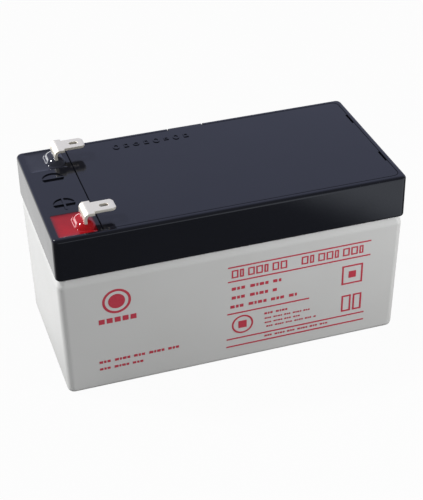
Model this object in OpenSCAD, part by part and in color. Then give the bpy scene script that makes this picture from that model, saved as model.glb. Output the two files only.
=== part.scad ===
// Sealed lead acid battery, 12 V 1.2 Ah size. A moulded case with six cells in two rows, a deep
// lid welded over its neck, a cover plate over six rubber vent valves, and two push-on tab
// terminals that are soldered to lead posts and set in resin.
// Millimetres. +X runs along the length, away from the terminals, -Y is the printed front,
// +Z is up, and the origin is the middle of the underside.

/* [Case] */
// Length of the battery, over the lid
case_len = 97; // [92:0.5:150]
// Width of the battery, over the lid
case_wid = 48; // [46:0.5:80]
// Height of the battery, to the top of the lid
case_h = 50.5; // [46:0.5:110]

/* [Container] */
// How far the container's ends stand in from the lid's, at the widest
tub_inset_x = 0.2; // [0:0.05:0.6]
// How far the container's sides stand in from the lid's, at the widest
tub_inset_y = 0.5; // [0:0.05:0.8]
// How far each end leans in from the shoulder to the underside
draft_x = 0.6; // [0:0.05:1]
// How far each side leans in from the shoulder to the underside
draft_y = 0.95; // [0:0.05:1.2]
// Radius of the container's upright corners
tub_r = 2; // [1.6:0.1:4]
// Radius round the container's bottom edge
foot_r = 1.5; // [0.4:0.1:1.5]
// Height of the sloped shoulder under the lid
shoulder_h = 2.4; // [0.8:0.1:4]
// How far the shoulder slopes in
shoulder_in = 0.6; // [0.1:0.05:0.6]
// Wall of the neck that stands inside the lid
neck_t = 1.5; // [1:0.1:2]
// Thickness of the container's floor
floor_t = 2.2; // [1.5:0.1:4]
// Thickness of the walls between the cells
partition_t = 1.2; // [0.8:0.1:2]
// Radius of the upright corners inside a cell
cell_r = 1; // [0.3:0.1:2]

/* [Lid] */
// Height of the lid's sides
lid_h = 12.6; // [9:0.1:16]
// Radius of the lid's upright corners
lid_r = 1.7; // [1.2:0.1:3]
// Radius round the lid's top edge
lid_edge_r = 1; // [0.2:0.1:1.1]
// Radius round the lid's bottom edge
lid_lip_r = 0.7; // [0.2:0.1:0.8]
// Wall of the lid's skirt
skirt_t = 1.5; // [1:0.1:2]
// Clearance all round between the skirt and the neck
lid_fit = 0.1; // [0.05:0.05:0.3]
// Depth from the lid's top to the underside of its deck
deck_drop = 7.5; // [7:0.1:8.5]
// Thickness of the deck that closes the cells
deck_t = 1.5; // [1:0.1:1.8]
// Length of the terminal end of the lid, up to the cover plate
terminal_end = 13.6; // [13.2:0.1:18]
// Width of the rim round the cover plate
rim_w = 1.7; // [1.2:0.1:3]

/* [Cover plate] */
// Thickness of the cover plate
plate_t = 1.5; // [1:0.1:1.8]
// Gap round the cover plate
plate_gap = 0.15; // [0.05:0.05:0.3]
// Gap along the cover plate's terminal side
seam_gap = 0.3; // [0.1:0.05:0.5]
// Width of the ledge that the cover plate lies on
ledge_w = 1.2; // [0.8:0.1:2]
// Radius of the cover plate's two far corners
plate_r = 1.75; // [0.5:0.05:3]
// Width of the tongue that reaches through the back rim
tongue_w = 9.9; // [5:0.1:20]
// Distance of the tongue's middle from the middle of the case
tongue_x = 0.45; // [-10:0.05:10]
// Gap at each end of the tongue
tongue_gap = 0.4; // [0.1:0.05:0.8]
// Length of each gas vent in the cover plate's far edge
vent_len = 5.1; // [2:0.1:8]
// Depth of each gas vent
vent_depth = 0.5; // [0.2:0.05:0.8]
// Distance between the middles of the two gas vents
vent_spacing = 23; // [14:0.5:30]

/* [Vent valves] */
// Outer diameter of a valve chimney
chimney_d = 7; // [5:0.1:8]
// Diameter of the bore through a chimney and the deck
chimney_bore_d = 4.4; // [2:0.1:4.6]
// Height of a chimney above the deck
chimney_h = 2.9; // [2:0.1:3.2]
// Wall of the rubber cap round the chimney
cap_wall = 1; // [0.6:0.1:1.4]
// Thickness of the cap's top
cap_top_t = 1; // [0.5:0.1:1.2]
// Radius round the cap's top edge
cap_edge_r = 0.4; // [0.1:0.05:0.5]
// Height of the cap's lower edge above the deck
cap_gap = 0.5; // [0.2:0.1:1]
// Distance of each chimney from the middle of its cell, away from the terminals
valve_shift = 5; // [3.8:0.1:7]
// Thickness of the ribs between the valve chambers
rib_t = 1.2; // [0.8:0.1:2]
// Opening left for gas at the end of each rib
rib_gap = 3; // [1:0.1:5]

/* [Terminal wells] */
// Length of a resin well
well_len = 10.5; // [9.5:0.1:10.6]
// Width of a resin well
well_wid = 11; // [9:0.1:12]
// Depth of a resin well
well_depth = 5; // [4:0.1:5.5]
// Distance from the lid's end to a well
well_margin_x = 1.8; // [1.2:0.1:2.2]
// Distance from the lid's side to a well
well_margin_y = 1.3; // [1:0.1:3]
// Radius of a well's upright corners
well_r = 0.8; // [0.3:0.1:1.5]
// Depth of the resin's surface below the lid's top
resin_drop = 0.25; // [0.05:0.05:0.6]
// Half of the width of the mound of resin round the terminal's leg
mound_r = 2.8; // [2:0.1:2.8]
// Half of the length of the mound, along the leg's width
mound_reach = 4.2; // [3.4:0.1:4.8]
// Height of the mound above the resin's surface
mound_h = 1.8; // [0.3:0.05:2.2]

/* [Tab terminals] */
// Width of the push-on blade
tab_w = 4.75; // [2.8:0.05:6.3]
// Thickness of the tab's sheet
tab_t = 0.8; // [0.5:0.05:1]
// Height of the blade's top above the lid
tab_rise = 4; // [2.5:0.1:8]
// Length of the blade beyond the shoulder
blade_len = 5.95; // [5:0.05:9]
// Length of the wide shoulder, from the leg's outer face
shoulder_len = 2.9; // [2.6:0.05:4]
// Width of the leg and the shoulder
leg_w = 6.6; // [6.4:0.1:8]
// Distance of the leg's outer face from the lid's end
leg_x = 9.2; // [8:0.1:9.6]
// Inside radius of the bend
bend_r = 0.7; // [0.3:0.1:1.2]
// Size of the cut corners at the blade's tip
tip_cut = 0.8; // [0.2:0.05:1.2]
// Depth of the lead-in bevel on the tip's faces
tip_bevel = 0.2; // [0.05:0.05:0.3]
// Length of the lead-in bevel
tip_bevel_len = 0.6; // [0.2:0.1:1]
// Length of the oblong hole in the blade
hole_len = 2.35; // [1.5:0.05:3]
// Width of the oblong hole
hole_w = 1.3; // [1:0.05:1.45]
// Distance from the tip to the middle of the hole
hole_from_tip = 2.95; // [2.2:0.05:3.6]
// Width of the leg's foot in the post's slot
foot_w = 3; // [1.5:0.1:3.6]
// Depth of the leg's foot in the post's slot
foot_depth = 1.5; // [0.5:0.1:2]
// Clearance for solder round the foot
solder_gap = 0.05; // [0.02:0.01:0.1]

/* [Polarity marks] */
// Diameter of the round recess of a polarity mark
mark_d = 5.9; // [4:0.1:8]
// Depth of the recess
mark_depth = 0.3; // [0.1:0.05:0.6]
// Distance of a mark's middle from the lid's end
mark_x = 6.9; // [5:0.1:8]
// Distance of a mark's middle from the battery's centre line
mark_y = 6.9; // [4.5:0.1:7.5]
// Width of the raised strokes
stroke_w = 0.5; // [0.3:0.05:1]
// Height of the strokes above the lid
stroke_rise = 0.1; // [0.05:0.05:0.3]

/* [Posts and straps] */
// Diameter of the lead post under each terminal
post_d = 4.5; // [3.8:0.1:4.9]
// Clearance of the post in its hole
post_fit = 0.1; // [0.05:0.05:0.2]
// Height of the post above the well's floor
post_rise = 2; // [1.8:0.1:2.8]
// Thickness of a lead strap
strap_t = 2.5; // [1.5:0.1:3.5]
// Width of a lead strap
strap_w = 5.5; // [5:0.1:6]
// How far a strap reaches past its outer lugs
strap_reach = 0.5; // [0.1:0.05:0.6]
// Space between a strap and the lid's deck
strap_space = 2.5; // [1:0.1:4]
// Width of the bridge that crosses a partition
bridge_w = 5; // [3:0.1:7]
// Clearance beside a bridge in its notch
notch_gap = 0.1; // [0.05:0.05:0.3]

/* [Plates and separators] */
// Thickness of a positive plate
pos_t = 3.1; // [2:0.1:3.4]
// Thickness of a negative plate
neg_t = 2.4; // [1.5:0.1:2.6]
// Space between a plate's edge and the cell's wall
plate_side = 1.2; // [0.8:0.1:2]
// Space between a separator's edge and the cell's wall
mat_side = 0.3; // [0.1:0.1:0.6]
// Clearance between the stack and the cell's long walls
stack_fit = 0.15; // [0.05:0.05:0.5]
// Height of the separators above the plates
mat_rise = 1; // [0.5:0.1:2.5]
// Width of the cast frame round a plate's paste
frame_w = 1.5; // [1:0.1:3]
// Depth of the paste below the frame's face
paste_in = 0.15; // [0.05:0.05:0.3]
// Width of a plate's lug
lug_w = 4.5; // [3:0.1:5]
// Thickness of a plate's lug
lug_t = 1.4; // [1:0.1:1.5]
// Height of a plate's lug
lug_h = 3.5; // [2:0.1:5]
// Distance from a plate's corner to the middle of its lug
lug_inset = 5; // [3:0.1:6]

/* [Hidden] */

// Colours of the mouldings, the metals and the cell's own materials
tub_colour = "#c3c3bf";
lid_colour = "#3c3c48";
plate_colour = "#3e3e4a";
tin_colour = "#dcdad4";
red_resin_colour = "#a52d37";
black_resin_colour = "#2c2c34";
lead_colour = "#8a8d92";
rubber_colour = "#26262a";
pos_plate_colour = "#5a3a2e";
neg_plate_colour = "#74787c";
mat_colour = "#eeeeea";

// Faces of round surfaces, and of the corners of the moulded outer forms
round_faces = 64;
corner_faces = 32;
// Length by which a cutter passes a face that it opens
over = 1;

// Levels, from the underside up
lid_z = case_h - lid_h;
deck_z = case_h - deck_drop;
deck_top = deck_z + deck_t;
ledge_z = case_h - plate_t;
well_z = case_h - well_depth;
resin_z = case_h - resin_drop;
post_top = well_z + post_rise;
strap_top = deck_z - strap_space;
strap_z = strap_top - strap_t;
plate_top = strap_z - lug_h;

// The lid's socket, and the container's neck and hollow that stand in it
socket_len = case_len - 2 * skirt_t;
socket_wid = case_wid - 2 * skirt_t;
neck_len = socket_len - 2 * lid_fit;
neck_wid = socket_wid - 2 * lid_fit;
hollow_len = neck_len - 2 * neck_t;
hollow_wid = neck_wid - 2 * neck_t;
neck_r = max(lid_r - skirt_t, 0) + cell_r;

// Cells: the front row runs from the terminals, and the back row returns to them
columns = 3;
cells = 2 * columns;
cell_len = (hollow_len - (columns - 1) * partition_t) / columns;
cell_wid = (hollow_wid - partition_t) / 2;
function cell_column(k) = k < columns ? k : cells - 1 - k;
function cell_x(k) = -hollow_len / 2 + cell_len / 2 + cell_column(k) * (cell_len + partition_t);
function cell_y(k) = (k < columns ? -1 : 1) * (cell_wid + partition_t) / 2;
// The end of a cell that holds its positive lugs, -1 towards the terminals and 1 away
function plus_end(k) = k < columns ? -1 : 1;

// Plate stack: negative, positive, negative, positive, negative, with a mat between each two
mat_t = (cell_wid - 2 * stack_fit - 3 * neg_t - 2 * pos_t) / 4;
stack_pitch = (pos_t + neg_t) / 2 + mat_t;
plate_len = cell_len - 2 * plate_side;
mat_len = cell_len - 2 * mat_side;
function lug_x(k, end) = cell_x(k) + end * (plate_len / 2 - lug_inset);
// Half of the width across the lugs of two positive or three negative plates
pos_span = stack_pitch + lug_t / 2 + strap_reach;
neg_span = 2 * stack_pitch + lug_t / 2 + strap_reach;

// Cover plate
plate_x0 = -case_len / 2 + terminal_end;
plate_x1 = case_len / 2 - rim_w;
plate_y1 = case_wid / 2 - rim_w;

// Terminals: side is -1 for the positive one, at the front, and 1 for the negative one
well_x0 = -case_len / 2 + well_margin_x;
well_y = case_wid / 2 - well_margin_y - well_wid / 2;
leg_x0 = -case_len / 2 + leg_x;
post_x = leg_x0 + tab_t / 2;
tab_top = case_h + tab_rise;
blade_x0 = leg_x0 + shoulder_len;
tip_x = blade_x0 + blade_len;

// Valves
function valve_x(k) = cell_x(k) + valve_shift;

// Outline of a rectangle with round corners, centred
module round_rect(l, w, r) {
    square([l - 2 * r, w], center = true);
    square([l, w - 2 * r], center = true);
    for (x = [-1, 1], y = [-1, 1])
        translate([x * (l / 2 - r), y * (w / 2 - r)]) circle(r, $fn = round_faces);
}

// Upright block with round corners, from z upwards
module round_block(l, w, r, z, h) {
    translate([0, 0, z]) linear_extrude(h) round_rect(l, w, r);
}

// Block that spans two opposite corners
module span_block(low, high) {
    translate(low) cube(high - low);
}

// Four round corner pieces of a moulded outer form, hulled by their user.
// Each is a disc of radius r and height h whose top or bottom edge has radius e
module corner_discs(l, w, r, z, h, top_e = 0, bottom_e = 0) {
    for (x = [-1, 1], y = [-1, 1])
        translate([x * (l / 2 - r), y * (w / 2 - r), z])
            rotate_extrude($fn = corner_faces) corner_profile(r, h, top_e, bottom_e);
}

// Half section of such a disc
module corner_profile(r, h, top_e, bottom_e) {
    steps = 6;
    polygon(concat(
        [[0, 0]],
        bottom_e > 0
            ? [for (i = [0:steps]) [r - bottom_e + bottom_e * sin(90 * i / steps),
                                    bottom_e - bottom_e * cos(90 * i / steps)]]
            : [[r, 0]],
        top_e > 0
            ? [for (i = [0:steps]) [r - top_e + top_e * cos(90 * i / steps),
                                    h - top_e + top_e * sin(90 * i / steps)]]
            : [[r, h]],
        [[0, h]]));
}

// Container: outer form that leans out from the underside to a sloped shoulder
module tub_outer() {
    foot_h = 2 * foot_r;
    sliver = 0.01;
    wide_len = case_len - 2 * tub_inset_x;
    wide_wid = case_wid - 2 * tub_inset_y;
    hull() {
        corner_discs(wide_len - 2 * draft_x, wide_wid - 2 * draft_y, tub_r, 0, foot_h,
            bottom_e = foot_r);
        corner_discs(wide_len, wide_wid, tub_r, lid_z - shoulder_h, sliver);
        corner_discs(wide_len - 2 * shoulder_in, wide_wid - 2 * shoulder_in, tub_r,
            lid_z - sliver, sliver);
    }
}

// Notch in a partition for the bridge of connector k, or the lid's tongue that closes it.
// The side clearance is side, and the cut runs from z = low to z = high
module bridge_notch(k, side, low, high, depth) {
    if (k == columns)
        span_block([lug_x(k, 1) - strap_w / 2 - side, -depth / 2, low],
            [lug_x(k, 1) + strap_w / 2 + side, depth / 2, high]);
    else {
        x = (cell_x(k - 1) + cell_x(k)) / 2;
        y = cell_y(k);
        span_block([x - depth / 2, y - bridge_w / 2 - side, low],
            [x + depth / 2, y + bridge_w / 2 + side, high]);
    }
}

// Light grey container with its six cells, which widens to a shoulder below the lid
module container() {
    color(tub_colour) difference() {
        union() {
            tub_outer();
            round_block(neck_len, neck_wid, neck_r, lid_z - over, deck_z - lid_z + over);
        }
        for (k = [0:cells - 1])
            translate([cell_x(k), cell_y(k), 0])
                round_block(cell_len, cell_wid, cell_r, floor_t, deck_z - floor_t + over);
        for (k = [1:cells - 1])
            bridge_notch(k, notch_gap, strap_z, deck_z + over, partition_t + 2 * over);
    }
}

// Lid's outer form, with round upright corners and round top and bottom edges
module lid_outer() {
    hull() corner_discs(case_len, case_wid, lid_r, lid_z, lid_h, top_e = lid_edge_r,
        bottom_e = lid_lip_r);
}

// Outline that the cover plate fills, grown by a gap at its sides and one at its terminal side
module plate_outline(gap, seam) {
    x0 = plate_x0 - seam;
    x1 = plate_x1 + gap;
    y1 = plate_y1 + gap;
    r = plate_r + gap;
    polygon([[x0, -y1], [x1 - r, -y1], [x1 - r, y1], [x0, y1]]);
    translate([x1 - r - over, r - y1]) square([r + over, 2 * (y1 - r)]);
    for (y = [-1, 1])
        translate([x1 - r, y * (y1 - r)]) circle(r, $fn = round_faces);
}

// Tongue of the cover plate through the back rim, grown by a gap
module tongue_outline(gap, reach) {
    translate([tongue_x - tongue_w / 2 - gap, plate_y1 - over])
        square([tongue_w + 2 * gap, reach - plate_y1 + over]);
}

// Gas vent slots over the cover plate's far edge, from depth in to reach out
module vents(inner, outer, z, h) {
    for (y = [-1, 1])
        translate([plate_x1 - inner, y * vent_spacing / 2 - vent_len / 2, z])
            cube([inner + outer, vent_len, h]);
}

// Chamber under the cover plate, with its ledge all round
module valve_chamber() {
    in = ledge_w;
    span_block([plate_x0 + in, in - plate_y1, deck_top],
        [plate_x1 - in, plate_y1 - in, ledge_z + over / 2]);
}

// Ribs that stand over the partitions and carry the cover plate, each with an opening for gas
module chamber_ribs() {
    far_x = plate_x1 - ledge_w;
    side_y = plate_y1 - ledge_w;
    span_block([plate_x0 + ledge_w - over / 2, -rib_t / 2, deck_z],
        [far_x - rib_gap, rib_t / 2, ledge_z]);
    for (k = [1:columns - 1], side = [-1, 1]) {
        x = (cell_x(k - 1) + cell_x(k)) / 2;
        span_block([x - rib_t / 2, side > 0 ? rib_gap : rib_gap - side_y, deck_z],
            [x + rib_t / 2, side > 0 ? side_y - rib_gap : -rib_gap, ledge_z]);
    }
}

// Polarity mark: a round recess with raised strokes
module mark_recess(side) {
    translate([mark_x - case_len / 2, side * mark_y, case_h - mark_depth])
        cylinder(d = mark_d, h = mark_depth + over, $fn = round_faces);
}

module mark_strokes(side) {
    x = mark_x - case_len / 2;
    y = side * mark_y;
    span_block([x - mark_d / 2, y - stroke_w / 2, case_h - 2 * mark_depth],
        [x + mark_d / 2, y + stroke_w / 2, case_h + stroke_rise]);
    if (side < 0)
        span_block([x - stroke_w / 2, y - mark_d / 2, case_h - 2 * mark_depth],
            [x + stroke_w / 2, y + mark_d / 2, case_h + stroke_rise]);
}

// Space of a resin well
module well(side, z, top) {
    translate([well_x0 + well_len / 2, side * well_y, 0])
        round_block(well_len, well_wid, well_r, z, top - z);
}

// Hollow under the lid's terminal end, beside each well, with the middle rib left between them
module end_hollows() {
    roof = case_h - plate_t - mark_depth;
    near = partition_t / 2;
    far = well_y - well_wid / 2 - deck_t;
    for (side = [-1, 1])
        span_block([cell_x(0) - cell_len / 2 + cell_r, side > 0 ? near : -far, deck_z - over],
            [well_x0 + well_len, side > 0 ? far : -near, roof]);
}

// Dark lid: skirt, deck with valve chimneys, plate recess, resin wells and polarity marks
module lid() {
    color(lid_colour) union() {
        difference() {
            lid_outer();
            round_block(socket_len, socket_wid, neck_r + lid_fit, lid_z - over,
                deck_z - lid_z + over);
            translate([0, 0, ledge_z]) linear_extrude(plate_t + over)
                plate_outline(plate_gap, seam_gap);
            translate([0, 0, ledge_z]) linear_extrude(plate_t + over)
                tongue_outline(tongue_gap, case_wid / 2 + over);
            valve_chamber();
            vents(ledge_w + over, plate_gap, deck_top + chimney_h, case_h);
            end_hollows();
            for (side = [-1, 1]) {
                well(side, well_z, case_h + over);
                mark_recess(side);
                translate([post_x, side * well_y, deck_z - over])
                    cylinder(d = post_d + 2 * post_fit, h = deck_drop, $fn = round_faces);
            }
            for (k = [0:cells - 1])
                translate([valve_x(k), cell_y(k), deck_z - over])
                    cylinder(d = chimney_bore_d, h = deck_drop, $fn = round_faces);
        }
        difference() {
            union() {
                chamber_ribs();
                for (k = [0:cells - 1])
                    translate([valve_x(k), cell_y(k), deck_z])
                        cylinder(d = chimney_d, h = deck_t + chimney_h, $fn = round_faces);
            }
            for (k = [0:cells - 1])
                translate([valve_x(k), cell_y(k), deck_z - over])
                    cylinder(d = chimney_bore_d, h = deck_drop, $fn = round_faces);
        }
        for (k = [1:cells - 1])
            bridge_notch(k, 0, strap_top, deck_z + deck_t / 2, partition_t);
        mark_strokes(-1);
        mark_strokes(1);
    }
}

// Flush cover plate that holds the valves down, with two gas vents and its tongue, whose end
// follows the lid's round edge
module cover_plate() {
    color(plate_colour) difference() {
        union() {
            translate([0, 0, ledge_z]) linear_extrude(plate_t) plate_outline(0, 0);
            intersection() {
                translate([0, 0, ledge_z]) linear_extrude(plate_t)
                    tongue_outline(0, case_wid / 2);
                lid_outer();
            }
        }
        vents(vent_depth, over, ledge_z - over, plate_t + 2 * over);
    }
}

// Rubber cap that closes the chimney of cell k, stretched over it
module valve_cap(k) {
    r_in = chimney_d / 2;
    r_out = r_in + cap_wall;
    z0 = deck_top + cap_gap;
    z1 = deck_top + chimney_h;
    z2 = z1 + cap_top_t;
    color(rubber_colour) translate([valve_x(k - 1), cell_y(k - 1), 0])
        rotate_extrude($fn = round_faces) {
            translate([r_in, z0]) square([cap_wall, z2 - cap_edge_r - z0]);
            translate([0, z1]) square([r_out - cap_edge_r, cap_top_t]);
            translate([r_out - cap_edge_r, z2 - cap_edge_r]) circle(cap_edge_r, $fn = corner_faces);
        }
}

// Plan of the blade and shoulder, with cut corners at the tip
module tab_plan() {
    polygon([[leg_x0, -leg_w / 2], [blade_x0, -leg_w / 2], [blade_x0, -tab_w / 2],
        [tip_x - tip_cut, -tab_w / 2], [tip_x, tip_cut - tab_w / 2],
        [tip_x, tab_w / 2 - tip_cut], [tip_x - tip_cut, tab_w / 2],
        [blade_x0, tab_w / 2], [blade_x0, leg_w / 2], [leg_x0, leg_w / 2]]);
}

// Side view of the flat part, from the end of the bend to the bevelled tip
module tab_side() {
    polygon([[leg_x0 + bend_r + tab_t, tab_top - tab_t],
        [tip_x - tip_bevel_len, tab_top - tab_t], [tip_x, tab_top - tab_t + tip_bevel],
        [tip_x, tab_top - tip_bevel], [tip_x - tip_bevel_len, tab_top],
        [leg_x0 + bend_r + tab_t, tab_top]]);
}

// Oblong hole through the blade
module tab_hole() {
    reach = (hole_len - hole_w) / 2;
    translate([tip_x - hole_from_tip, 0, tab_top - tab_t - over]) {
        for (x = [-reach, reach])
            translate([x, 0, 0]) cylinder(d = hole_w, h = tab_t + 2 * over, $fn = round_faces);
        translate([-reach, -hole_w / 2, 0]) cube([2 * reach, hole_w, tab_t + 2 * over]);
    }
}

// Tinned tab terminal: a leg with a foot in the post's slot, a bend, a shoulder and a blade
module terminal(side) {
    bend_x = leg_x0 + tab_t + bend_r;
    bend_z = tab_top - tab_t - bend_r;
    color(tin_colour) translate([0, side * well_y, 0]) {
        difference() {
            intersection() {
                translate([0, 0, tab_top - tab_t]) linear_extrude(tab_t) tab_plan();
                translate([0, leg_w / 2 + over, 0]) rotate([90, 0, 0])
                    linear_extrude(leg_w + 2 * over) tab_side();
            }
            tab_hole();
        }
        translate([bend_x, leg_w / 2, bend_z]) rotate([90, 0, 0])
            rotate([0, 0, 90]) rotate_extrude(angle = 90, $fn = round_faces)
                translate([bend_r, 0]) square([tab_t, leg_w]);
        span_block([leg_x0, -leg_w / 2, post_top], [leg_x0 + tab_t, leg_w / 2, bend_z]);
        span_block([leg_x0, -foot_w / 2, post_top - foot_depth],
            [leg_x0 + tab_t, foot_w / 2, post_top + tab_t]);
    }
}

module positive_terminal() { terminal(-1); }

module negative_terminal() { terminal(1); }

// Long mound of resin along the leg: a bar with round ends, of which only the back stands out
module mound() {
    bar_r = (mound_r * mound_r + mound_h * mound_h) / (2 * mound_h);
    half = mound_reach - mound_r;
    translate([post_x, 0, resin_z + mound_h - bar_r]) {
        rotate([90, 0, 0]) cylinder(r = bar_r, h = 2 * half, center = true, $fn = 2 * round_faces);
        for (y = [-half, half])
            translate([0, y, 0]) sphere(bar_r, $fn = 2 * round_faces);
    }
}

// Resin that seals a well, with a mound where it climbs the terminal's leg
module resin(side) {
    difference() {
        union() {
            well(side, well_z, resin_z);
            intersection() {
                well(side, resin_z - mound_h, resin_z + 2 * mound_h);
                translate([0, side * well_y, 0]) mound();
            }
        }
        translate([post_x, side * well_y, well_z - over])
            cylinder(d = post_d, h = post_rise + over, $fn = round_faces);
        span_block([leg_x0, side * well_y - leg_w / 2, post_top],
            [leg_x0 + tab_t, side * well_y + leg_w / 2, case_h + tab_rise]);
    }
}

module positive_resin() { color(red_resin_colour) resin(-1); }

module negative_resin() { color(black_resin_colour) resin(1); }

// Lead bar over the lugs at one end of cell k, half_span to each side of the cell's middle
module strap(k, end, half_span) {
    x = lug_x(k, end);
    y = cell_y(k);
    span_block([x - strap_w / 2, y - half_span, strap_z],
        [x + strap_w / 2, y + half_span, strap_top]);
}

// End strap of cell k with the post that stands up through the lid, slotted for the leg's foot
module end_post(k, side, half_span) {
    y = side * well_y;
    slot_t = tab_t + 2 * solder_gap;
    slot_w = foot_w + 2 * solder_gap;
    color(lead_colour) difference() {
        union() {
            strap(k, -1, half_span);
            span_block([lug_x(k, -1) - strap_w / 2, min(y - strap_w / 2, cell_y(k)), strap_z],
                [lug_x(k, -1) + strap_w / 2, max(y + strap_w / 2, cell_y(k)), strap_top]);
            translate([post_x, y, strap_z])
                cylinder(d = post_d, h = post_top - strap_z, $fn = round_faces);
        }
        translate([post_x - slot_t / 2, y - slot_w / 2, post_top - foot_depth])
            cube([slot_t, slot_w, foot_depth + over]);
    }
}

module positive_end_post() { end_post(0, -1, pos_span); }

module negative_end_post() { end_post(cells - 1, 1, neg_span); }

// Lead connector from the negative lugs of cell k to the positive lugs of the next
module cell_connector(k) {
    color(lead_colour) {
        strap(k - 1, -plus_end(k - 1), neg_span);
        strap(k, plus_end(k), pos_span);
        if (k == columns)
            span_block([lug_x(k, 1) - strap_w / 2, cell_y(k - 1), strap_z],
                [lug_x(k, 1) + strap_w / 2, cell_y(k), strap_top]);
        else {
            xa = lug_x(k - 1, -plus_end(k - 1));
            xb = lug_x(k, plus_end(k));
            span_block([min(xa, xb), cell_y(k) - bridge_w / 2, strap_z],
                [max(xa, xb), cell_y(k) + bridge_w / 2, strap_top]);
        }
    }
}

// Pasted plate of thickness t that stands from z: a cast frame, its paste field and a lug
module pasted_plate(k, y, t, z, end) {
    x0 = cell_x(k) - plate_len / 2;
    x1 = cell_x(k) + plate_len / 2;
    difference() {
        span_block([x0, y - t / 2, z], [x1, y + t / 2, plate_top]);
        for (s = [-1, 1])
            span_block([x0 + frame_w, s > 0 ? y + t / 2 - paste_in : y - t / 2 - over, z + frame_w],
                [x1 - frame_w, s > 0 ? y + t / 2 + over : y - t / 2 + paste_in,
                    plate_top - frame_w]);
    }
    span_block([lug_x(k, end) - lug_w / 2, y - lug_t / 2, plate_top - frame_w],
        [lug_x(k, end) + lug_w / 2, y + lug_t / 2, strap_z]);
}

// Two positive plates of cell k, which stand in the folds of the separators
module positive_plates(k) {
    color(pos_plate_colour) for (s = [-1, 1])
        pasted_plate(k - 1, cell_y(k - 1) + s * stack_pitch, pos_t, floor_t + mat_t,
            plus_end(k - 1));
}

// Three negative plates of cell k, which stand on the floor
module negative_plates(k) {
    color(neg_plate_colour) for (s = [-1, 0, 1])
        pasted_plate(k - 1, cell_y(k - 1) + 2 * s * stack_pitch, neg_t, floor_t,
            -plus_end(k - 1));
}

// Two glass fibre mats of cell k, each folded up round a positive plate
module separators(k) {
    x0 = cell_x(k - 1) - mat_len / 2;
    x1 = cell_x(k - 1) + mat_len / 2;
    half = pos_t / 2 + mat_t;
    color(mat_colour) for (s = [-1, 1]) {
        y = cell_y(k - 1) + s * stack_pitch;
        difference() {
            span_block([x0, y - half, floor_t], [x1, y + half, plate_top + mat_rise]);
            span_block([x0 - over, y - pos_t / 2, floor_t + mat_t],
                [x1 + over, y + pos_t / 2, plate_top + mat_rise + over]);
        }
    }
}

container();
lid();
cover_plate();
valve_cap(1);  // valve_cap_1
valve_cap(2);  // valve_cap_2
valve_cap(3);  // valve_cap_3
valve_cap(4);  // valve_cap_4
valve_cap(5);  // valve_cap_5
valve_cap(6);  // valve_cap_6
positive_terminal();
negative_terminal();
positive_resin();
negative_resin();
positive_end_post();
negative_end_post();
cell_connector(1);  // cell_connector_1
cell_connector(2);  // cell_connector_2
cell_connector(3);  // cell_connector_3
cell_connector(4);  // cell_connector_4
cell_connector(5);  // cell_connector_5
positive_plates(1);  // cell_1_positive_plates
negative_plates(1);  // cell_1_negative_plates
separators(1);  // cell_1_separators
positive_plates(2);  // cell_2_positive_plates
negative_plates(2);  // cell_2_negative_plates
separators(2);  // cell_2_separators
positive_plates(3);  // cell_3_positive_plates
negative_plates(3);  // cell_3_negative_plates
separators(3);  // cell_3_separators
positive_plates(4);  // cell_4_positive_plates
negative_plates(4);  // cell_4_negative_plates
separators(4);  // cell_4_separators
positive_plates(5);  // cell_5_positive_plates
negative_plates(5);  // cell_5_negative_plates
separators(5);  // cell_5_separators
positive_plates(6);  // cell_6_positive_plates
negative_plates(6);  // cell_6_negative_plates
separators(6);  // cell_6_separators
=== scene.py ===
# Sealed lead acid battery of the 12 V 1.2 Ah size, dressed for its picture. A moulded container
# and lid hold six lead cells, and two tinned tabs stand in poured resin at one end of the lid.
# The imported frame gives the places; lengths written here are millimetres, turned to metres by MM.
import math

import bmesh
import bpy
import numpy as np
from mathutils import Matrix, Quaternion, Vector


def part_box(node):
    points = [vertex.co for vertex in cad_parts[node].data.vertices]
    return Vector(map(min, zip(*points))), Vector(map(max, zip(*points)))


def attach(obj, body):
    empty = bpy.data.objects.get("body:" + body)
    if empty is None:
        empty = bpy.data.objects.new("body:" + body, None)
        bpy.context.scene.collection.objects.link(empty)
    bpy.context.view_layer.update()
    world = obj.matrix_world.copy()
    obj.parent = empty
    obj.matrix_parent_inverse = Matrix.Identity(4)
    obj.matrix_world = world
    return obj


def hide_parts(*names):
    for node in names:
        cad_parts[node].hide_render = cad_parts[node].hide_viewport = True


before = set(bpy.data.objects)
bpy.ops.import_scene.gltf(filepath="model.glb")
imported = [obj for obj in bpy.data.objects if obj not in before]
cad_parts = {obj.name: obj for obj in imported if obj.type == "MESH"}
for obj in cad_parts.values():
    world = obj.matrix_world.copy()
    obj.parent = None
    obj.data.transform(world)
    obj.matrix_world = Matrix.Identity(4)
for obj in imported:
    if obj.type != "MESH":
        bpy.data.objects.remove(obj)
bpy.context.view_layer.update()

MM = 0.001


# Container. The real one is a tub of light grey ABS, moulded in one shot with its partitions, so
# its sides lean out a little towards the lid. It stands on its underside, and the lid is welded
# over its neck, above a sloped shoulder whose lower edge turns by more than TUB_CREASE degrees.
TUB_GREY = "#c9c9c8"
TUB_MOTTLE = "#c3c3c1"
TUB_CREASE = 13
TUB_EDGE = 0.35
SHOULDER_H = 2.4
SINK_PITCH = 16


def linear(hex_colour):
    """RGBA for a shader socket from an sRGB hex colour: each channel c becomes c / 12.92 below
    0.04045, and ((c + 0.055) / 1.055) ** 2.4 above it."""
    srgb = np.array([int(hex_colour[i:i + 2], 16) / 255 for i in (1, 3, 5)])
    value = np.where(srgb <= 0.04045, srgb / 12.92, ((srgb + 0.055) / 1.055) ** 2.4)
    return (*value.tolist(), 1.0)


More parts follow.
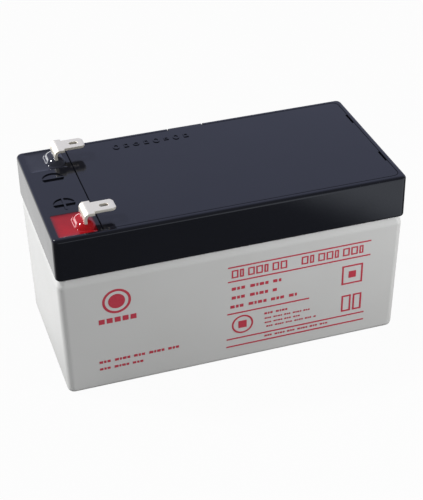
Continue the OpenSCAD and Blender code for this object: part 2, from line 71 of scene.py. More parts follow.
def add(tree, kind, sockets=None, **settings):
    """Adds a shader node of that kind with its settings. Each socket gets a value, or a link from
    another node's output."""
    made = tree.nodes.new("ShaderNode" + kind)
    for name, value in settings.items():
        setattr(made, name, value)
    for name, value in (sockets or {}).items():
        if isinstance(value, bpy.types.NodeSocket):
            tree.links.new(value, made.inputs[name])
        else:
            made.inputs[name].default_value = value
    return made


def empty_material(name):
    """A new material with nothing in its node tree, and that tree."""
    made = bpy.data.materials.new(name)
    made.use_nodes = True
    made.node_tree.nodes.clear()
    return made, made.node_tree


def moulded_abs(name, colour, mottle, gloss, grain, grain_depth, sink_depth):
    """Injection moulded ABS. The fine grain of the mould breaks up the highlight, slow sink marks
    over the walls behind bend the reflections, and the pigment is mottled a little.
    gloss is (smoothest, roughest); grain, its depth and the sink's depth are in millimetres."""
    made, tree = empty_material(name)
    place = add(tree, "TexCoord").outputs["Object"]
    slow = add(tree, "TexNoise", {"Vector": place, "Scale": 1 / (SINK_PITCH * MM), "Detail": 1.0})
    fine = add(tree, "TexNoise", {"Vector": place, "Scale": 1 / (grain * MM), "Detail": 3.0})
    pigment = add(tree, "Mix", {"Factor": slow.outputs["Fac"], "A": linear(colour),
                                "B": linear(mottle)}, data_type="RGBA")
    rough = add(tree, "MapRange", {"Value": fine.outputs["Fac"], "From Min": 0.3, "From Max": 0.7,
                                   "To Min": gloss[0], "To Max": gloss[1]})
    sink = add(tree, "Bump", {"Height": slow.outputs["Fac"], "Distance": sink_depth * MM})
    skin = add(tree, "Bump", {"Height": fine.outputs["Fac"], "Distance": grain_depth * MM,
                              "Normal": sink.outputs["Normal"]})
    shader = add(tree, "BsdfPrincipled", {
        "Base Color": pigment.outputs["Result"], "Roughness": rough.outputs["Result"],
        "Normal": skin.outputs["Normal"], "IOR": 1.54})
    add(tree, "OutputMaterial", {"Surface": shader.outputs["BSDF"]})
    return made


def in_scene(name, mesh, material):
    """Puts a mesh into the scene as a piece of the battery with that finish."""
    mesh.materials.clear()
    mesh.materials.append(material)
    piece = bpy.data.objects.new(name, mesh)
    bpy.context.scene.collection.objects.link(piece)
    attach(piece, "root")
    return piece


def rounded_copy(node, material, reach, crease=38, chosen=None, clamp=False):
    """Stands for a CAD node with the same solid: its loose triangles are merged, flat faces are
    joined again, and each edge that turns by more than crease degrees gets a round that reaches
    so many millimetres on to its faces, as the mould or the die leaves it. chosen(middles) picks
    edges by their middles, in millimetres, and clamp makes all rounds smaller where two would
    meet. Larger faces steer the shading, so that flat faces look flat."""
    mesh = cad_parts[node].data.copy()
    mesh.attributes.remove(mesh.attributes["custom_normal"])
    form = bmesh.new()
    form.from_mesh(mesh)
    same_place, same_plane = 0.02 * MM, math.radians(0.3)
    bmesh.ops.remove_doubles(form, verts=form.verts, dist=same_place)
    bmesh.ops.dissolve_limit(form, angle_limit=same_plane, verts=form.verts, edges=form.edges)
    form.edges.ensure_lookup_table()
    for face in form.faces:
        face.smooth = True
    turns = np.degrees([edge.calc_face_angle(0) for edge in form.edges])
    middles = np.array([(edge.verts[0].co + edge.verts[1].co) / 2 for edge in form.edges]) / MM
    rounded = turns > crease
    if chosen is not None:
        rounded &= chosen(middles)
    for edge, turn in zip(form.edges, turns):
        edge.smooth = bool(turn <= crease)
    form.to_mesh(mesh)
    form.free()
    weight = mesh.attributes.new("bevel_weight_edge", "FLOAT", "EDGE")
    weight.data.foreach_set("value", rounded.astype(np.float32))
    piece = in_scene("moulded_" + node, mesh, material)
    bevel = piece.modifiers.new("edge_round", "BEVEL")
    bevel.limit_method = "WEIGHT"
    bevel.width = reach * MM
    bevel.segments = 3
    bevel.use_clamp_overlap = clamp
    steer = piece.modifiers.new("flat_faces", "WEIGHTED_NORMAL")
    steer.keep_sharp = True
    steer.weight = 100
    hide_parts(node)
    return piece


tub_abs = moulded_abs("light grey ABS, fine grained moulding", TUB_GREY, TUB_MOTTLE,
                      gloss=(0.38, 0.5), grain=0.45, grain_depth=0.004, sink_depth=0.05)
wide_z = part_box("lid")[0].z / MM - SHOULDER_H
rounded_copy("container", tub_abs, TUB_EDGE, crease=TUB_CREASE,
             chosen=lambda middles: np.abs(middles[:, 2] - wide_z) < 0.3)


# Lid. Blue-black ABS with a semi-gloss skin, moulded with its skirt, deck, wells and polarity
# marks, and welded down over the container's neck. The mould leaves a fine round on the edge of
# the recess that holds the cover plate.
LID_BLACK = "#0d0e14"
LID_MOTTLE = "#101118"
LID_EDGE = 0.12

lid_abs = moulded_abs("blue-black ABS, semi-gloss moulding", LID_BLACK, LID_MOTTLE,
                      gloss=(0.07, 0.14), grain=0.5, grain_depth=0.006, sink_depth=0.1)
case_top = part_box("cover_plate")[1].z / MM
plate_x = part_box("cover_plate")[0].x / MM


def recess_edges(middles):
    """The lid's edges round the recess of the cover plate, at the top face."""
    return (np.abs(middles[:, 2] - case_top) < 0.02) & (middles[:, 0] > plate_x - 0.5)


rounded_copy("lid", lid_abs, LID_EDGE, chosen=recess_edges, clamp=True)


# Cover plate. The same ABS with a slightly duller skin, dropped into the lid's recess and welded
# at spots, flush with the top.
plate_abs = moulded_abs("blue-black ABS, satin cover plate", LID_BLACK, LID_MOTTLE,
                        gloss=(0.08, 0.16), grain=0.5, grain_depth=0.008, sink_depth=0.05)
rounded_copy("cover_plate", plate_abs, LID_EDGE)


# Row of marks near the cover plate's back edge. They are plain rings and frames of the plate's
# own ABS, moulded with it and raised a little above its face.
MARK_X = (-21.2, -0.9)
MARK_Y = (16.6, 19.1)
MARK_COUNT = 8
MARK_W = 1.9
MARK_STROKE = 0.4
MARK_RISE = 0.2
MARK_FOOT = 0.1


def raised(figures, foot, rise):
    """Thin closed figures on a surface. Each is an outline, counter-clockwise seen from outside,
    and a hole with as many points, or None, all in millimetres. A figure runs from foot below to
    rise above along the normal, the cross product of an edge and the way inwards. Its loops are
    the outline low and high, then the hole high and low, with a wall from each to the next; a
    figure without a hole has a face over each end instead."""
    points, faces = [], []
    for outline, hole in figures:
        inwards = (outline.mean(0) if hole is None else hole[0]) - outline[0]
        out = np.cross(outline[1] - outline[0], inwards)
        out /= np.linalg.norm(out)
        loops = [outline - foot * out, outline + rise * out]
        loops += [] if hole is None else [hole + rise * out, hole - foot * out]
        here = np.arange(len(loops) * len(outline)).reshape(len(loops), -1) + len(points)
        along = np.roll(here, -1, 1)
        walls = np.stack([here, along, np.roll(along, -1, 0), np.roll(here, -1, 0)], 2)
        if hole is None:
            walls = walls[:1]
            faces += [here[0, ::-1].tolist(), here[1].tolist()]
        faces += walls.reshape(-1, 4).tolist()
        points += np.concatenate(loops).tolist()
    return points, faces


def mesh_of(name, points, faces, smooth=False):
    """A mesh from points in millimetres and faces as rows of point numbers."""
    mesh = bpy.data.meshes.new(name)
    mesh.from_pydata((np.asarray(points) * MM).tolist(), [], faces)
    mesh.polygons.foreach_set("use_smooth", [smooth] * len(mesh.polygons))
    return mesh


def oval(x, y, half_x, half_y, parts):
    """The two coordinates of points round an oval about (x, y), counter-clockwise. Four of them
    are the corners of an upright frame."""
    angle = 2 * np.pi * (np.arange(parts) + 0.5) / parts
    return x + half_x * np.cos(angle), y + half_y * np.sin(angle)


def on_plate(x, y):
    """Points on the cover plate's top."""
    return np.stack([x, y, np.full_like(x, case_top)], -1)


mark_mid = sum(MARK_Y) / 2
mark_half = (MARK_Y[1] - MARK_Y[0]) / 2
marks = []
for i, x in enumerate(np.linspace(*MARK_X, MARK_COUNT)):
    half_x, half_y, parts = MARK_W / 2, mark_half * (1, 0.7)[i % 3 == 2], (16, 4)[i % 2]
    marks.append((on_plate(*oval(x, mark_mid, half_x, half_y, parts)),
                  on_plate(*oval(x, mark_mid, half_x - MARK_STROKE, half_y - MARK_STROKE, parts))))
in_scene("plate_marks", mesh_of("plate_marks", *raised(marks, MARK_FOOT, MARK_RISE)), plate_abs)


# Valve caps. Black rubber thimbles stretched over the chimneys under the cover plate, one to a
# cell. Gas lifts a cap for a moment and then leaves by the slots at the plate's far edge.
def soft_rubber():
    """Moulded rubber with a dusting of talc: matt, and paler in cloudy spots."""
    made, tree = empty_material("black rubber, talc dusted")
    place = add(tree, "TexCoord").outputs["Object"]
    dust = add(tree, "TexNoise", {"Vector": place, "Scale": 1 / (1.5 * MM), "Detail": 3.0})
    tone = add(tree, "Mix", {"Factor": dust.outputs["Fac"], "A": linear("#1c1c1e"),
                             "B": linear("#343436")}, data_type="RGBA")
    shader = add(tree, "BsdfPrincipled", {"Base Color": tone.outputs["Result"],
                                          "Roughness": 0.75})
    add(tree, "OutputMaterial", {"Surface": shader.outputs["BSDF"]})
    return made


rubber = soft_rubber()
for cell in range(1, 7):
    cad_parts[f"valve_cap_{cell}"].data.materials[0] = rubber


# Tab terminals. Brass strip, punched, folded and tin plated, with its foot soldered into the
# slot of the post below.
TIN = "#f5f0e3"
TIN_SHADE = "#e8e2d4"
TAB_EDGE = 0.12


def tinned_brass():
    """Matt tin over rolled brass: a pale metal, whitened by the fine grain of its crystals, whose
    highlight is broken by a mottled pattern about half a millimetre across, and by fine marks
    along the strip."""
    made, tree = empty_material("tinned brass, punched strip")
    place = add(tree, "TexCoord").outputs["Object"]
    bloom = add(tree, "TexNoise", {"Vector": place, "Scale": 1 / (0.55 * MM), "Detail": 4.0,
                                   "Roughness": 0.65})
    along = add(tree, "Mapping", {"Vector": place, "Scale": (0.12, 1.0, 1.0)})
    marks = add(tree, "TexNoise", {"Vector": along.outputs["Vector"], "Scale": 1 / (0.2 * MM),
                                   "Detail": 2.0})
    tone = add(tree, "Mix", {"Factor": bloom.outputs["Fac"], "A": linear(TIN),
                             "B": linear(TIN_SHADE)}, data_type="RGBA")
    rough = add(tree, "MapRange", {"Value": bloom.outputs["Fac"], "From Min": 0.3,
                                   "From Max": 0.7, "To Min": 0.36, "To Max": 0.5})
    skin = add(tree, "Bump", {"Height": marks.outputs["Fac"], "Distance": 0.006 * MM})
    shader = add(tree, "BsdfPrincipled", {
        "Base Color": tone.outputs["Result"], "Metallic": 0.7,
        "Roughness": rough.outputs["Result"], "Normal": skin.outputs["Normal"]})
    add(tree, "OutputMaterial", {"Surface": shader.outputs["BSDF"]})
    return made


tin = tinned_brass()
for pole in ("positive", "negative"):
    rounded_copy(pole + "_terminal", tin, TAB_EDGE)


# Resin. Two-part resin poured hot round each terminal, red at the positive and black at the
# negative. It wets the walls of its well and the leg, and stands in a mound along the leg.
WELL_R = 0.8
LEG_T = 0.8
POST_R = 2.25
FILL_DROP = 0.25
MOUND_R = 2.8
MOUND_REACH = 4.2
MOUND_FOOT = 0.25
WALL_CLIMB = 0.22
WALL_CLIMB_WIDTH = 0.6
WALL_SHADE_WIDTH = 0.45
LEG_CLIMB = 0.3
LEG_CLIMB_WIDTH = 0.3
RAYS = 240
RINGS = 64


def box_radius(angle, x0, x1, half_y, corner):
    """Distance from the leg's middle to the outline of a box from x0 to x1 and half_y to each
    side, with round corners, along each angle: the nearer flat side, or the far crossing of the
    ray with the corner's circle where the ray leaves through a corner."""
    c, s = np.cos(angle), np.sin(angle)
    half_x = np.where(c > 0, x1, -x0)
    flat = np.minimum(half_x / np.maximum(np.abs(c), 1e-9), half_y / np.maximum(np.abs(s), 1e-9))
    centre_x, centre_y = half_x - corner, half_y - corner
    past = (np.abs(flat * c) > centre_x) & (np.abs(flat * s) > centre_y)
    reach = np.abs(c) * centre_x + np.abs(s) * centre_y
    root = reach ** 2 - centre_x ** 2 - centre_y ** 2 + corner ** 2
    return np.where(past, reach + np.sqrt(np.maximum(root, 0)), flat)


def resin_surface(pole):
    """Points and faces of one well's resin, closed round the leg and the post. Each ray from the
    leg's middle gives a loop: up the leg, out over the top, down the wall, and back under. The
    top is the flat level, plus a cap of a round bar along the leg that blends into it, plus
    climbs at the walls and the leg that die away exponentially."""
    low, high = (np.array(corner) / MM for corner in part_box(pole + "_resin"))
    leg_low, leg_high = (np.array(corner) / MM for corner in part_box(pole + "_terminal"))
    post_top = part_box(pole + "_end_post")[1].z / MM
    leg_x = leg_low[0] + LEG_T / 2
    leg_y = (leg_low[1] + leg_high[1]) / 2
    leg_half = (leg_high[1] - leg_low[1]) / 2
    level = case_top - FILL_DROP
    rise = high[2] - level
    x0, x1, half_y = low[0] - leg_x, high[0] - leg_x, (high[1] - low[1]) / 2

    corner_y = np.arctan2(leg_half, LEG_T / 2)
    corners = [corner_y, np.pi - corner_y, np.pi + corner_y, 2 * np.pi - corner_y]
    angle = np.unique(np.concatenate([np.linspace(0, 2 * np.pi, RAYS, endpoint=False), corners]))
    way = np.stack([np.cos(angle), np.sin(angle)], 1)
    leg = way * box_radius(angle, -LEG_T / 2, LEG_T / 2, leg_half, 0.0)[:, None]
    wall = way * box_radius(angle, x0, x1, half_y, WELL_R)[:, None]
    post = way * POST_R

    step = (1 - np.cos(np.linspace(0, np.pi, RINGS))) / 2
    top = leg[:, None] * (1 - step)[None, :, None] + wall[:, None] * step[None, :, None]
    from_leg = np.linalg.norm(top - leg[:, None], axis=2)
    from_wall = np.minimum.reduce([top[..., 0] - x0, x1 - top[..., 0],
                                   half_y - np.abs(top[..., 1])])
    bar_r = (MOUND_R ** 2 + rise ** 2) / (2 * rise)
    past_end = np.maximum(np.abs(top[..., 1]) - (MOUND_REACH - MOUND_R), 0)
    off_spine = np.hypot(top[..., 0], past_end)
    cap = np.sqrt(np.maximum(bar_r ** 2 - off_spine ** 2, 0)) - (bar_r - rise)
    mound = (cap + np.sqrt(cap ** 2 + MOUND_FOOT ** 2)) / 2
    height = (level + mound + WALL_CLIMB * np.exp(-np.maximum(from_wall, 0) / WALL_CLIMB_WIDTH)
              + LEG_CLIMB * np.exp(-from_leg / LEG_CLIMB_WIDTH))
    height = np.minimum(height, high[2] + LEG_CLIMB)

    def ring(plan, z):
        return np.concatenate([plan, np.full((len(plan), 1), z)], 1)[:, None]

    loops = np.concatenate([
        ring(leg, post_top), np.concatenate([top, height[..., None]], 2),
        ring(wall, low[2]), ring(post, low[2]), ring(post, post_top)], 1)
    loops += (leg_x, leg_y, 0)
    rays, rings = loops.shape[:2]
    number = np.arange(rays * rings).reshape(rays, rings)
    here, after = number, np.roll(number, -1, 0)
    faces = np.stack([here, np.roll(here, -1, 1), np.roll(after, -1, 1), after], 2)
    # Painted shade: a mask that darkens the resin's colour towards the walls of its well.
    painted_wall_shade = np.zeros((rays, rings))
    painted_wall_shade[:, 1:-3] = np.exp(-np.maximum(from_wall, 0) / WALL_SHADE_WIDTH)
    return loops.reshape(-1, 3), faces.reshape(-1, 4).tolist(), painted_wall_shade.reshape(-1)


def poured_resin(name, colour, deep):
    """Cured resin with a glossy, self-levelled skin, and pigment that has settled in soft clouds
    about 3 mm across. Near the wall of its well the colour is mixed towards the lid's black,
    a painted shade."""
    made, tree = empty_material(name)
    place = add(tree, "TexCoord").outputs["Object"]
    cloud = add(tree, "TexNoise", {"Vector": place, "Scale": 1 / (3 * MM), "Detail": 2.0})
    clouded = add(tree, "Mix", {"Factor": cloud.outputs["Fac"], "A": linear(colour),
                                "B": linear(deep)}, data_type="RGBA")
    # The wall attribute darkens the colour near the well's walls, as painted shade.
    painted_wall_shade = add(tree, "Attribute", attribute_name="wall")
    tone = add(tree, "Mix", {"Factor": painted_wall_shade.outputs["Fac"], "A": clouded.outputs["Result"],
                             "B": linear(LID_BLACK)}, data_type="RGBA")
    skin = add(tree, "Bump", {"Height": cloud.outputs["Fac"], "Distance": 0.04 * MM})
    shader = add(tree, "BsdfPrincipled", {
        "Base Color": tone.outputs["Result"], "Roughness": 0.09, "IOR": 1.45,
        "Normal": skin.outputs["Normal"]})
    add(tree, "OutputMaterial", {"Surface": shader.outputs["BSDF"]})
    return made


for pole, slot, material in (
        ("positive", "red_resin", poured_resin("red potting resin", "#9a0f14", "#8a0b10")),
        ("negative", "black_resin", poured_resin("black potting resin", "#282930", "#22232a"))):
    points, faces, painted_wall_shade = resin_surface(pole)
    mesh = mesh_of(pole + "_resin_pour", points, faces, smooth=True)
    mesh.set_sharp_from_angle(angle=math.radians(50))
    # The wall attribute holds the painted shade near the well's walls.
    mesh.attributes.new("wall", "FLOAT", "POINT").data.foreach_set("value", painted_wall_shade)
    pour = in_scene(pole + "_resin_pour", mesh, material)
    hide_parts(pole + "_resin")


# Posts and connectors. Cast lead straps burned on to the plates' lugs. A strap crosses from each
# cell to the next in a notch of the partition, and the end ones carry a post up through the lid.
def cast_lead():
    """Lead cast in a comb mould: dull blue-grey, with darker oxide in patches of 2 mm and the
    soft dimples of the cast skin."""
    made, tree = empty_material("cast lead, oxidised")
    place = add(tree, "TexCoord").outputs["Object"]
    oxide = add(tree, "TexNoise", {"Vector": place, "Scale": 1 / (2 * MM), "Detail": 4.0})
    tone = add(tree, "Mix", {"Factor": oxide.outputs["Fac"], "A": linear("#8f949b"),
                             "B": linear("#5f636b")}, data_type="RGBA")
    skin = add(tree, "Bump", {"Height": oxide.outputs["Fac"], "Distance": 0.08 * MM})
    shader = add(tree, "BsdfPrincipled", {
        "Base Color": tone.outputs["Result"], "Metallic": 0.8, "Roughness": 0.55,
        "Normal": skin.outputs["Normal"]})
    add(tree, "OutputMaterial", {"Surface": shader.outputs["BSDF"]})
    return made


lead = cast_lead()
for node in ["positive_end_post", "negative_end_post",
             *(f"cell_connector_{k}" for k in range(1, 6))]:
    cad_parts[node].data.materials[0] = lead


# Plates and separators. Lead grids pasted with oxide, brown at the positive and grey at the
# negative, with white glass fibre mats folded between them to hold the acid.
def pasted_plate(name, colour, deep):
    """Cured paste on a grid: a dry, crumbly face, cracked lightly at about 1 mm."""
    made, tree = empty_material(name)
    place = add(tree, "TexCoord").outputs["Object"]
    crumb = add(tree, "TexVoronoi", {"Vector": place, "Scale": 1 / (1 * MM)},
                feature="DISTANCE_TO_EDGE")
    cloud = add(tree, "TexNoise", {"Vector": place, "Scale": 1 / (4 * MM), "Detail": 4.0})
    tone = add(tree, "Mix", {"Factor": cloud.outputs["Fac"], "A": linear(colour),
                             "B": linear(deep)}, data_type="RGBA")
    skin = add(tree, "Bump", {"Height": crumb.outputs["Distance"], "Distance": 0.1 * MM})
    shader = add(tree, "BsdfPrincipled", {"Base Color": tone.outputs["Result"],
                                          "Roughness": 0.85, "Normal": skin.outputs["Normal"]})
    add(tree, "OutputMaterial", {"Surface": shader.outputs["BSDF"]})
    return made


def glass_mat():
    """Felted glass fibre: white and matt, with a wandering fibre pattern of about 0.4 mm."""
    made, tree = empty_material("glass fibre mat")
    place = add(tree, "TexCoord").outputs["Object"]
    fibre = add(tree, "TexNoise", {"Vector": place, "Scale": 1 / (0.4 * MM), "Detail": 5.0,
                                   "Distortion": 2.5})
    tone = add(tree, "Mix", {"Factor": fibre.outputs["Fac"], "A": linear("#f4f4f0"),
                             "B": linear("#deded8")}, data_type="RGBA")
    skin = add(tree, "Bump", {"Height": fibre.outputs["Fac"], "Distance": 0.05 * MM})
    shader = add(tree, "BsdfPrincipled", {"Base Color": tone.outputs["Result"], "Roughness": 0.9,
                                          "Normal": skin.outputs["Normal"]})
    add(tree, "OutputMaterial", {"Surface": shader.outputs["BSDF"]})
    return made


stack = {"positive_plates": pasted_plate("brown lead dioxide paste", "#5a3a2e", "#41281f"),
         "negative_plates": pasted_plate("grey sponge lead paste", "#7a7e82", "#5f6367"),
         "separators": glass_mat()}
for cell in range(1, 7):
    for layer, material in stack.items():
        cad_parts[f"cell_{cell}_{layer}"].data.materials[0] = material


# Print on the front. Red ink, pad printed on the container's leaning front as plain rules, rows
# of small blocks and a few simple figures.
INK_RED = "#b22a3e"
INK_THIN = "#bb4352"
INK_RISE = 0.03
INK_FOOT = 0.05
DRAFT_Y = 0.95
DISC_PARTS = 48
RULE_W = 0.44
FRAME_W = 0.5
OPEN_BLOCK_W = 0.42


def pad_ink():
    """Pad printed ink: an opaque satin film, a little thin and uneven at about 0.6 mm."""
    made, tree = empty_material("red pad printing ink")
    place = add(tree, "TexCoord").outputs["Object"]
    thin = add(tree, "TexNoise", {"Vector": place, "Scale": 1 / (0.6 * MM), "Detail": 3.0})
    tone = add(tree, "Mix", {"Factor": thin.outputs["Fac"], "A": linear(INK_RED),
                             "B": linear(INK_THIN)}, data_type="RGBA")
    shader = add(tree, "BsdfPrincipled", {"Base Color": tone.outputs["Result"],
                                          "Roughness": 0.5})
    add(tree, "OutputMaterial", {"Surface": shader.outputs["BSDF"]})
    return made


front_wide = -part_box("container")[0].y / MM


def on_front(x, z):
    """Points on the container's front at x and z: it leans out by DRAFT_Y from the underside to
    wide_z, so y falls in proportion to z."""
    x, z = np.broadcast_arrays(np.asarray(x, float), np.asarray(z, float))
    return np.stack([x, -(front_wide - DRAFT_Y * (1 - z / wide_z)), z], -1)


def block(x0, x1, z0, z1):
    """An upright rectangle on the front."""
    return on_front([x0, x1, x1, x0], [z0, z0, z1, z1]), None


def frame_of(x0, x1, z0, z1, stroke):
    """An upright rectangular frame on the front."""
    return (block(x0, x1, z0, z1)[0],
            block(x0 + stroke, x1 - stroke, z0 + stroke, z1 - stroke)[0])


def disc_of(x, z, outer, inner=None):
    """A disc about (x, z) on the front, or a ring with that inner radius."""
    loops = [on_front(*oval(x, z, radius, radius, DISC_PARTS))
             for radius in (outer, inner) if radius]
    return loops[0], loops[1] if inner else None


def row_of_blocks(x0, x1, z0, z1, widths, space):
    """Plain blocks that fill a row from x0 to x1. The widths repeat in order, a negative one
    leaves a wider gap, and the row is stretched to end at x1."""
    count = int(1.5 * (x1 - x0) / (np.mean(np.abs(widths)) + space)) + 1
    run = np.resize(widths, count)
    start = np.concatenate([[0], np.cumsum(np.abs(run) + space)[:-1]])
    kept = start + np.abs(run) <= x1 - x0
    run, start = run[kept], start[kept]
    stretch = (x1 - x0) / (start[-1] + abs(run[-1]))
    return [block(x0 + stretch * a, x0 + stretch * (a + w), z0, z1)
            for a, w in zip(start, run) if w > 0]


# Rules: (x0, x1, z)
printed = [block(x0, x1, z - RULE_W / 2, z + RULE_W / 2) for x0, x1, z in (
    (-2.3, 39.1, 31.8), (-2.3, 39.1, 27.1), (-2.5, 21.4, 16.25), (-2.7, 38.25, 7.5),
    (-2.8, 38.25, 4.9))]
# Two groups of large open blocks between the upper rules
for x0, x1, count in ((-1.25, 15.0, 7), (18.75, 38.1, 8)):
    pitch = (x1 - x0) / count
    for k in range(count):
        narrow = 0.5 if k % 3 == 1 else 0.82
        printed.append(frame_of(x0 + k * pitch, x0 + (k + narrow) * pitch, 28.2, 30.8,
                                OPEN_BLOCK_W))
# Lines of small blocks, whose widths go with the height of the line: (x0, x1, z0, z1)
widths = np.array([0.96, 0.6, 0.84, -0.6, 1.08, 0.48, 0.96, 0.72, -0.48])
for x0, x1, z0, z1 in ((-1.25, 13.0, 24.0, 25.2), (-1.25, 11.75, 21.0, 22.2),
                       (-1.6, 17.7, 18.0, 19.2), (8.25, 15.6, 13.7, 14.5),
                       (8.4, 22.2, 12.1, 12.7), (8.4, 18.75, 10.6, 11.2), (8.9, 23.6, 9.2, 9.8),
                       (8.4, 27.2, 5.9, 6.6), (-38.75, -15.5, 8.4, 9.4),
                       (-38.75, -25.75, 6.1, 7.0)):
    tall = z1 - z0
    printed += row_of_blocks(x0, x1, z0 + 0.1 * tall, z1 - 0.1 * tall, widths * tall, 0.3 * tall)
# Plain figures: a disc in a ring over a row of blocks, a ring round a square, and frames
printed += [disc_of(-33.05, 28.4, 3.9, 3.2), disc_of(-33.05, 28.4, 2.3)]
printed += row_of_blocks(-38.2, -27.9, 21.6, 23.2, np.array([1.5]), 0.5)
printed += [disc_of(1.9, 12.05, 3.1, 2.6), block(0.7, 3.1, 10.85, 13.25)]
printed += [frame_of(30.9, 37.1, 18.4, 24.8, FRAME_W), block(32.9, 35.1, 20.5, 22.7)]
printed += [frame_of(x0, x1, 9.0, 14.6, FRAME_W) for x0, x1 in ((31.2, 34.0), (34.6, 37.2))]
in_scene("front_print", mesh_of("front_print", *raised(printed, INK_FOOT, INK_RISE)), pad_ink())


# Table. A matt white board that runs out of the picture on all sides. Its pool of light lies
# before the battery, right of a slanting line, and a part at the back left is white as well.
TABLE_HALF = 2500
BOARD = "#898989"
BOARD_GLOW = 0.965
POOL_LINE = 121.6
POOL_SLOPE = 0.67
POOL_EDGE = 16
POOL_Y = (-45, -60)
POOL_HUE = (0.84, 0.9, 1.0, 1.0)
WHITE_X = (-47, -52)
WHITE_Y = (-20, 20)
SHADE_LEVEL = 0.1


def white_table():
    """Matt white board. Seen directly it is close to white and keeps a faint shadow. In glossy
    skins the board is white at the battery's back left, and elsewhere in shade except for a pool
    of light before the battery at the right, so the lid's front is dark and clears towards the
    right."""
    made, tree = empty_material("white table board")
    path = add(tree, "LightPath").outputs
    axis = add(tree, "SeparateXYZ", {"Vector": add(tree, "TexCoord").outputs["Object"]}).outputs
    slope = add(tree, "Math", {0: axis["Y"], 1: -POOL_SLOPE, 2: axis["X"]},
                operation="MULTIPLY_ADD")
    clear = add(tree, "MapRange", {
        "Value": slope.outputs[0], "From Min": (POOL_LINE - POOL_EDGE) * MM,
        "From Max": (POOL_LINE + POOL_EDGE) * MM}, interpolation_type="SMOOTHSTEP")
    before = add(tree, "MapRange", {"Value": axis["Y"], "From Min": POOL_Y[0] * MM,
                                    "From Max": POOL_Y[1] * MM},
                 interpolation_type="SMOOTHSTEP")
    pool = add(tree, "Math", {0: clear.outputs["Result"], 1: before.outputs["Result"]},
               operation="MULTIPLY")
    left = add(tree, "MapRange", {"Value": axis["X"], "From Min": WHITE_X[0] * MM,
                                  "From Max": WHITE_X[1] * MM}, interpolation_type="SMOOTHSTEP")
    behind = add(tree, "MapRange", {"Value": axis["Y"], "From Min": WHITE_Y[0] * MM,
                                    "From Max": WHITE_Y[1] * MM},
                 interpolation_type="SMOOTHSTEP")
    corner = add(tree, "Math", {0: left.outputs["Result"], 1: behind.outputs["Result"]},
                 operation="MULTIPLY")
    bright = add(tree, "Math", {0: pool.outputs[0], 1: corner.outputs[0]}, operation="MAXIMUM")
    mirrored = add(tree, "MapRange", {"Value": bright.outputs[0], "To Min": SHADE_LEVEL})
    level = add(tree, "Mix", {"Factor": path["Is Glossy Ray"], "A": 1.0,
                              "B": mirrored.outputs["Result"]}, data_type="FLOAT")
    board = add(tree, "BsdfDiffuse", {"Color": linear(BOARD)})
    pooled = add(tree, "Math", {0: path["Is Glossy Ray"], 1: before.outputs["Result"]},
                 operation="MULTIPLY")
    hue = add(tree, "Mix", {"Factor": pooled.outputs[0], "A": (1.0, 1.0, 1.0, 1.0),
                            "B": POOL_HUE}, data_type="RGBA")
    glow = add(tree, "Emission", {"Color": hue.outputs["Result"],
                                  "Strength": level.outputs["Result"]})
    plainly = add(tree, "Math", {0: path["Is Camera Ray"], 1: path["Is Transmission Ray"]},
                  operation="MAXIMUM")
    seen = add(tree, "Math", {0: plainly.outputs[0], 1: path["Is Glossy Ray"]},
               operation="MAXIMUM")
    share = add(tree, "Math", {0: seen.outputs[0], 1: BOARD_GLOW}, operation="MULTIPLY")
    mixed = add(tree, "MixShader", {"Fac": share.outputs[0], 1: board.outputs["BSDF"],
                                    2: glow.outputs["Emission"]})
    add(tree, "OutputMaterial", {"Surface": mixed.outputs["Shader"]})
    return made


table_mesh = mesh_of("table", TABLE_HALF * np.array([(-1, -1, 0), (1, -1, 0), (1, 1, 0),
                                                     (-1, 1, 0)]), [(0, 1, 2, 3)])
table_mesh.materials.append(white_table())
table = bpy.data.objects.new("table", table_mesh)
bpy.context.scene.collection.objects.link(table)


# Room. Pale walls with a blue-grey window behind the battery, which its glossy skins mirror, and
# a soft even light that fills the shadows.
ROOM_EVEN = 0.28
ROOM_DIM = (0.13, 0.135, 0.15, 1.0)
ROOM_WINDOW = (0.4, 0.43, 0.61, 1.0)
ROOM_LOW = (0.84, 0.9, 1.0, 1.0)


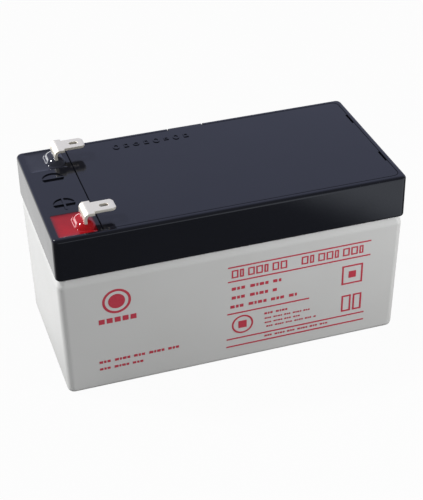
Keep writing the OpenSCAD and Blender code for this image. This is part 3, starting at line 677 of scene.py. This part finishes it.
def pale_room():
    """The room round the table. Seen directly it is white. In glossy skins it is a blue-grey
    window light at the back, dimmer overhead and in front, and a cool white close over the table
    at the front right. Everything else gets a soft even light from it."""
    made = bpy.data.worlds.new("pale room with a window behind")
    made.use_nodes = True
    tree = made.node_tree
    tree.nodes.clear()
    path = add(tree, "LightPath").outputs
    way = add(tree, "SeparateXYZ", {"Vector": add(tree, "TexCoord").outputs["Generated"]})
    back = add(tree, "MapRange", {"Value": way.outputs["Y"], "From Min": -0.25,
                                  "From Max": 0.45}, interpolation_type="SMOOTHSTEP")
    low_down = add(tree, "MapRange", {"Value": way.outputs["Z"], "From Min": 0.2,
                                      "From Max": 0.34, "To Min": 1.0, "To Max": 0.0},
                   interpolation_type="SMOOTHSTEP")
    right = add(tree, "MapRange", {"Value": way.outputs["X"], "From Min": 0.17,
                                   "From Max": 0.4}, interpolation_type="SMOOTHSTEP")
    front = add(tree, "MapRange", {"Value": way.outputs["Y"], "From Min": -0.3,
                                   "From Max": -0.5}, interpolation_type="SMOOTHSTEP")
    upper = add(tree, "Mix", {"Factor": back.outputs["Result"], "A": ROOM_DIM,
                              "B": ROOM_WINDOW}, data_type="RGBA")
    corner = add(tree, "Math", {0: right.outputs["Result"], 1: front.outputs["Result"]},
                 operation="MULTIPLY")
    horizon = add(tree, "Math", {0: low_down.outputs["Result"], 1: corner.outputs[0]},
                  operation="MULTIPLY")
    gloss = add(tree, "Mix", {"Factor": horizon.outputs[0], "A": upper.outputs["Result"],
                              "B": ROOM_LOW}, data_type="RGBA")
    glossy = add(tree, "Math", {0: path["Is Glossy Ray"], 1: path["Is Transmission Ray"]},
                 operation="MAXIMUM")
    even = add(tree, "Background", {"Color": (0.95, 0.97, 1.0, 1.0), "Strength": ROOM_EVEN})
    mirrored = add(tree, "Background", {"Color": gloss.outputs["Result"], "Strength": 1.0})
    white = add(tree, "Background", {"Color": (1.0, 1.0, 1.0, 1.0), "Strength": 1.0})
    part = add(tree, "MixShader", {"Fac": glossy.outputs[0], 1: even.outputs["Background"],
                                   2: mirrored.outputs["Background"]})
    whole = add(tree, "MixShader", {"Fac": path["Is Camera Ray"], 1: part.outputs["Shader"],
                                    2: white.outputs["Background"]})
    add(tree, "OutputWorld", {"Surface": whole.outputs["Shader"]})
    return made


bpy.context.scene.world = pale_room()


# Lamps. One high at the left and back, soft light from the front right and the left, and the
# strip of a window low at the back left.
def lamp(name, kind, place, aim, **settings):
    """A lamp at place that points at aim, both in millimetres."""
    data = bpy.data.lights.new(name, kind)
    for key, value in settings.items():
        setattr(data, key, value)
    made = bpy.data.objects.new(name, data)
    bpy.context.scene.collection.objects.link(made)
    made.location = Vector(place) * MM
    made.rotation_mode = "QUATERNION"
    made.rotation_quaternion = (Vector(aim) - Vector(place)).to_track_quat("-Z", "Y")
    made.visible_camera = False
    return made


lamp("lamp, high left and back", "SUN", (-550, 350, 750), (0, 0, 0), energy=2.75,
     angle=math.radians(6))
soft_right = lamp("soft light, front right", "AREA", (260, -230, 170), (20, 0, 20), energy=1.15,
                  size=0.2)
soft_left = lamp("soft light, left", "AREA", (-550, 90, 160), (0, 0, 20), energy=2.2, size=0.4)
for soft_lamp in (soft_right, soft_left):
    soft_lamp.visible_glossy = False
window = lamp("window, low at the back left", "AREA", (-353, 605, 170), (-20, 0, 45), energy=1.5,
              shape="RECTANGLE", size=0.7, size_y=0.12)
# The window glints in the resin and on the tabs, and a flag keeps its glare off the flat lid.
glinting = bpy.data.collections.new("lit by the low window")
for pole in ("positive", "negative"):
    glinting.objects.link(bpy.data.objects[pole + "_resin_pour"])
    glinting.objects.link(bpy.data.objects["moulded_" + pole + "_terminal"])
window.light_linking.receiver_collection = glinting


# Camera. Fitted to nine straight edges of the battery, so it stands where the photographer did.
# The lens is in millimetres on a sensor 36 mm wide, and the roll is in degrees.
CAMERA_AT = (-94.34, -303.28, 232.79)
CAMERA_AIM = (-0.71, -3.94, 25.2)
CAMERA_ROLL = -1.12
camera_data = bpy.data.cameras.new("camera")
camera_data.lens = 96.565
camera_data.sensor_width = 36
camera_data.sensor_fit = "AUTO"
camera_data.clip_start = 0.01
camera_data.clip_end = 20
camera = bpy.data.objects.new("camera", camera_data)
bpy.context.scene.collection.objects.link(camera)
bpy.context.scene.camera = camera
camera.location = Vector(CAMERA_AT) * MM
camera.rotation_mode = "QUATERNION"
camera.rotation_quaternion = ((Vector(CAMERA_AIM) - Vector(CAMERA_AT)).to_track_quat("-Z", "Y")
                              @ Quaternion((0, 0, 1), math.radians(CAMERA_ROLL)))

bpy.context.scene.view_settings.view_transform = "Standard"
